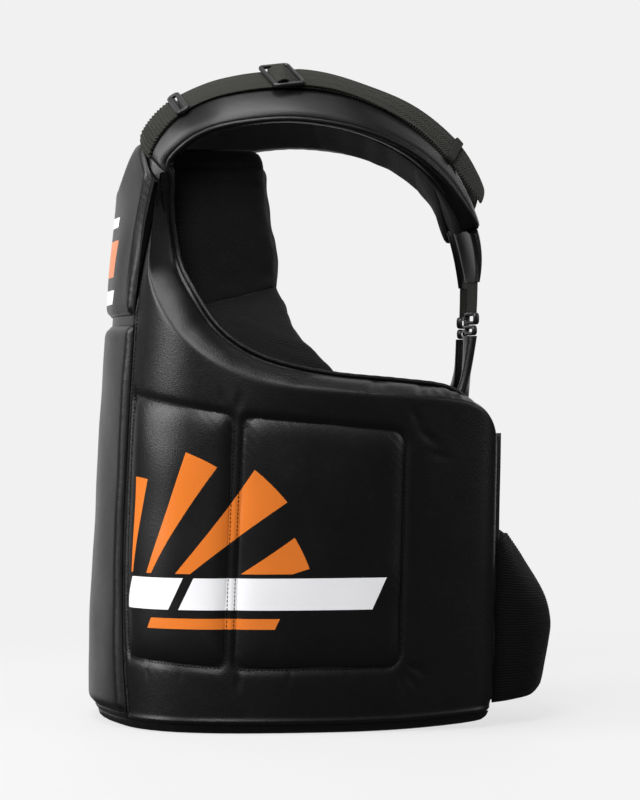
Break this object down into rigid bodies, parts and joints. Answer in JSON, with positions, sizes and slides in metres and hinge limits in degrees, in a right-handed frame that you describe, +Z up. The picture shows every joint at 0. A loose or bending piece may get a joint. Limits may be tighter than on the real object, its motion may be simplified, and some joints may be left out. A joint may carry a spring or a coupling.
{
  "type": "torso protector",
  "caption": "Padded torso protector for boxing coaching: thick leather-look walls open at the back, shoulder yokes, webbing straps with buckles and a wide elastic waist belt.",
  "frame": {"origin": "middle of the box round the part, on the floor it stands on", "axes": "+Z up, -Y the wearer's front, +X the wearer's left"},
  "size_m": [0.4392, 0.4632, 0.643],
  "materials": {
    "leather": "satin black grained synthetic leather",
    "trim": "soft black folded leather edge",
    "lining": "matt black mesh cloth",
    "webbing": "matt black herringbone webbing",
    "elastic": "matt black ribbed elastic",
    "plastic": "semi-gloss black moulded plastic"
  },
  "bodies": {
    "root": {"front_panel": "leather", "belly_pad": "leather", "chest_pad": "leather", "hem_welt": "trim", "lining_front_lower": "lining", "lining_front_upper": "lining", "neck_binding": "trim", "waist_belt": "elastic", "side_panel_left": "leather", "side_panel_right": "leather", "side_pad_front_left": "leather", "side_pad_front_right": "leather", "side_pad_rear_left": "leather", "side_pad_rear_right": "leather", "lining_side_left": "lining", "lining_side_right": "lining", "armhole_binding_left": "trim", "armhole_binding_right": "trim", "yoke_binding_left": "trim", "yoke_binding_right": "trim", "shoulder_yoke_left": "leather", "shoulder_yoke_right": "leather", "yoke_lining_left": "lining", "yoke_lining_right": "lining", "strap_tab_left": "webbing", "strap_tab_right": "webbing", "shoulder_strap_left": "webbing", "shoulder_strap_right": "webbing", "strap_tail_left": "webbing", "strap_tail_right": "webbing", "strap_ring_left": "plastic", "strap_ring_right": "plastic", "strap_slider_left": "plastic", "strap_slider_right": "plastic", "strap_keeper_left": "webbing", "strap_keeper_right": "webbing", "back_tab_left": "leather", "back_tab_right": "leather", "buckle_web_left": "webbing", "buckle_web_right": "webbing", "buckle_socket_left": "plastic", "buckle_socket_right": "plastic", "buckle_plug_left": "plastic", "buckle_plug_right": "plastic", "back_strap_left": "leather", "back_strap_right": "leather", "belt_flap_left": "trim", "belt_flap_right": "trim"}
  },
  "joints": []
}
